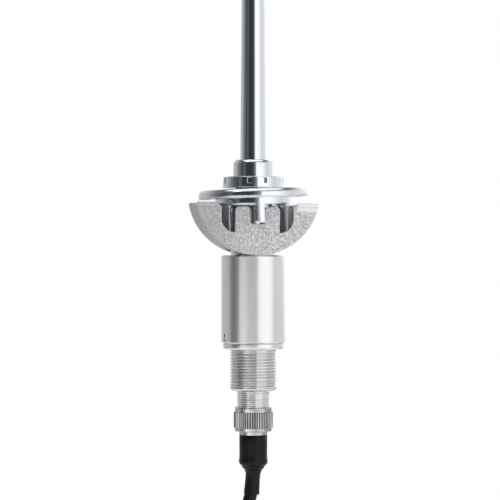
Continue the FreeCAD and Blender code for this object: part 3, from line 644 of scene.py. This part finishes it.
def paint_knurl_shade(material, bottom, top, root, crest):
    """Painted shade in the grooves of the knurl: the nearer the mast's axis, the darker, between two heights.
    """
    tree = material.node_tree
    place = add_node(tree, "TexCoord")
    flat = add_node(tree, "VectorMath", operation="MULTIPLY")
    flat.inputs[1].default_value = (1, 1, 0)
    tree.links.new(place.outputs["Object"], flat.inputs[0])
    reach = add_node(tree, "VectorMath", operation="LENGTH")
    tree.links.new(flat.outputs[0], reach.inputs[0])
    depth = add_node(tree, "MapRange")
    depth.inputs["From Min"].default_value = crest
    depth.inputs["From Max"].default_value = root
    tree.links.new(reach.outputs["Value"], depth.inputs["Value"])
    split = add_node(tree, "SeparateXYZ")
    tree.links.new(place.outputs["Object"], split.inputs["Vector"])
    middle = add_node(tree, "Math", operation="COMPARE")
    middle.inputs[1].default_value = (bottom + top) / 2
    middle.inputs[2].default_value = (top - bottom) / 2
    tree.links.new(split.outputs["Z"], middle.inputs[0])
    mask = add_node(tree, "Math", operation="MULTIPLY")
    tree.links.new(depth.outputs[0], mask.inputs[0])
    tree.links.new(middle.outputs[0], mask.inputs[1])
    cover_colour(material, mask.outputs[0], grey(0.03))


def soften_edges(material, radius):
    """Normal that rounds off sharp edges, as on a casting or a plated piece."""
    bevel = add_node(material.node_tree, "Bevel", samples=6, Radius=radius)
    return bevel.outputs["Normal"]


grain_group = build_grain_group()
turning_group = build_turning_group()


def make_metal(name, dark, light, rough, grain, depth, clouds=60.0, edge=None, spread=0.2, metallic=1.0):
    """Plated or cast metal: colour and roughness drift in clouds, and a fine grain lifts the surface."""
    material = plain_material(name, light, metallic, rough[0])
    marks = place_group(material, grain_group, Grain=grain, Clouds=clouds)
    vary_colour(material, marks.outputs["Clouds"], dark, light, 0.5 - spread, 0.5 + spread)
    vary_roughness(material, marks.outputs["Clouds"], *rough)
    under = soften_edges(material, edge) if edge else None
    raise_surface(material, marks.outputs["Grain"], depth, under)
    return material


def make_turned(name, dark, light, rough, lines, line_depth, edge=None, ring_depth=0.0):
    """Metal from the lathe: fine lines vary its colour, roughness and height, over even feed marks."""
    material = plain_material(name, light, 1, rough[0])
    marks = place_group(material, turning_group, Lines=lines)
    vary_colour(material, marks.outputs["Lines"], dark, light)
    vary_roughness(material, marks.outputs["Lines"], *rough)
    under = soften_edges(material, edge) if edge else None
    if ring_depth:
        under = raise_surface(material, marks.outputs["Rings"], ring_depth, under)
    raise_surface(material, marks.outputs["Lines"], line_depth, under)
    return material


def make_moulded(name, dark, light, rough, grain, grain_depth, sheen=0.5):
    """Rubber or plastic: slightly uneven sheen and a fine moulded grain."""
    material = plain_material(name, light, 0, rough[0])
    material.node_tree.nodes["Principled BSDF"].inputs["Specular IOR Level"].default_value = sheen
    marks = place_group(material, grain_group, Grain=grain, Clouds=120.0)
    vary_colour(material, marks.outputs["Clouds"], dark, light)
    vary_roughness(material, marks.outputs["Clouds"], *rough)
    raise_surface(material, marks.outputs["Grain"], grain_depth)
    return material


def grey(level, warm=0.0):
    """A grey, made warmer or, below 0, bluer."""
    return (level + warm, level, level - warm)


chrome = make_metal("chrome", grey(0.88, -0.03), grey(0.92, -0.03), (0.02, 0.05), 160.0, 0.006 * MM,
                    edge=0.2 * MM)
polished = make_metal("hand_polished_chrome", grey(0.88, -0.03), grey(0.92, -0.03), (0.03, 0.07), 420.0,
                      0.016 * MM, clouds=200.0, edge=1.0 * MM)
cast = make_metal("blasted_casting", (0.405, 0.397, 0.415), (0.886, 0.873, 0.896), (0.50, 0.65), 2800.0,
                  0.06 * MM, clouds=2680.0, edge=0.4 * MM, spread=0.13, metallic=0.15)
# painted shade: the casting grows darker towards its left lug, where less light falls
paint_left_lug_shade(cast, 1.0 * MM, -17.0 * MM, 0.55, grey(0.38))
# painted light: a lighter colour inside the pocket, in place of light that its closed walls don't get
paint_pocket_light(cast, 13.95 * MM, 8.95 * MM, 11.4 * MM, grey(0.96))
# painted highlights: lighter lines along the casting's edges, where its chamfers catch the light
paint_edge_highlights(cast, 0.45 * MM, grey(0.96))
machine_lug(cast, 13.4 * MM, -2.2 * MM, 0.065, 0.28, grey(0.98))
turned = make_turned("turned_aluminium", grey(0.88, -0.003), grey(0.93, -0.003), (0.07, 0.11), 2500.0,
                     0.0004 * MM, edge=0.3 * MM, ring_depth=0.0024 * MM)
plated = make_turned("plated_steel", grey(0.58), grey(0.95), (0.06, 0.12), 1800.0, 0.003 * MM)
fine_plated = make_turned("plated_socket", grey(0.76), grey(0.97), (0.06, 0.12), 1800.0, 0.003 * MM)
nickel = make_metal("nickelled_brass", grey(0.50, 0.006), grey(0.64, 0.006), (0.05, 0.11), 1600.0,
                    0.008 * MM, clouds=300.0, edge=0.1 * MM)
knurled = make_metal("knurled_nickelled_brass", grey(0.47, 0.012), grey(0.61, 0.012), (0.05, 0.11), 1600.0,
                     0.008 * MM, clouds=300.0, edge=0.1 * MM)
# painted shade: the knurl's grooves darken towards their roots
paint_knurl_shade(knurled, -77.25 * MM, -71.75 * MM, 6.43 * MM, 6.70 * MM)
brass = make_turned("turned_brass", (0.58, 0.42, 0.18), (0.72, 0.55, 0.27), (0.2, 0.34), 2200.0, 0.004 * MM)
rubber = make_moulded("black_rubber", grey(0.004, -0.001), grey(0.008, -0.001), (0.32, 0.44), 1400.0,
                      0.01 * MM, sheen=0.24)
sheath = make_moulded("cable_sheath", grey(0.004, -0.001), grey(0.008, -0.001), (0.30, 0.42), 1200.0,
                      0.01 * MM, sheen=0.24)
black = make_moulded("black_plastic", grey(0.016), grey(0.024), (0.36, 0.5), 1700.0, 0.012 * MM)
pale = make_moulded("white_plastic", grey(0.72, 0.01), grey(0.80, 0.01), (0.35, 0.5), 1500.0, 0.012 * MM)

LOOKS = {
    "clamp_saddle": cast, "bezel": polished, "cap_nut": chrome, "mast_stem": chrome, "mast_tube_2": chrome,
    "mast_tube_3": chrome, "mast_rod": chrome, "mast_tip": chrome, "body_tube": plated,
    "socket_body": fine_plated, "spacer_sleeve": turned, "ring_nut": turned, "union_nut": knurled,
    "connector_ferrule": nickel, "plug_shell": nickel, "plug_pin": nickel, "mast_bush": black,
    "mast_seat": black, "boot": rubber, "cable": sheath, "cable_coil": sheath, "cable_tail": sheath,
    "cable_tie": black, "plug_grip": black, "socket_insulator": pale, "connector_insulator": pale,
    "plug_insulator": pale,
}
for name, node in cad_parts.items():
    node.data.materials.clear()
    node.data.materials.append(LOOKS.get(name, brass))

make_cable(sheath)
place_camera()
make_body_tube(plated)
make_socket_body(fine_plated)
make_boot(rubber)
light_studio()
place_lamp("softbox_left", azimuth_deg=-55, elevation_deg=60, distance=2.4, size=0.6, power=2)
lay_floor()
bpy.context.scene.view_settings.view_transform = "Standard"
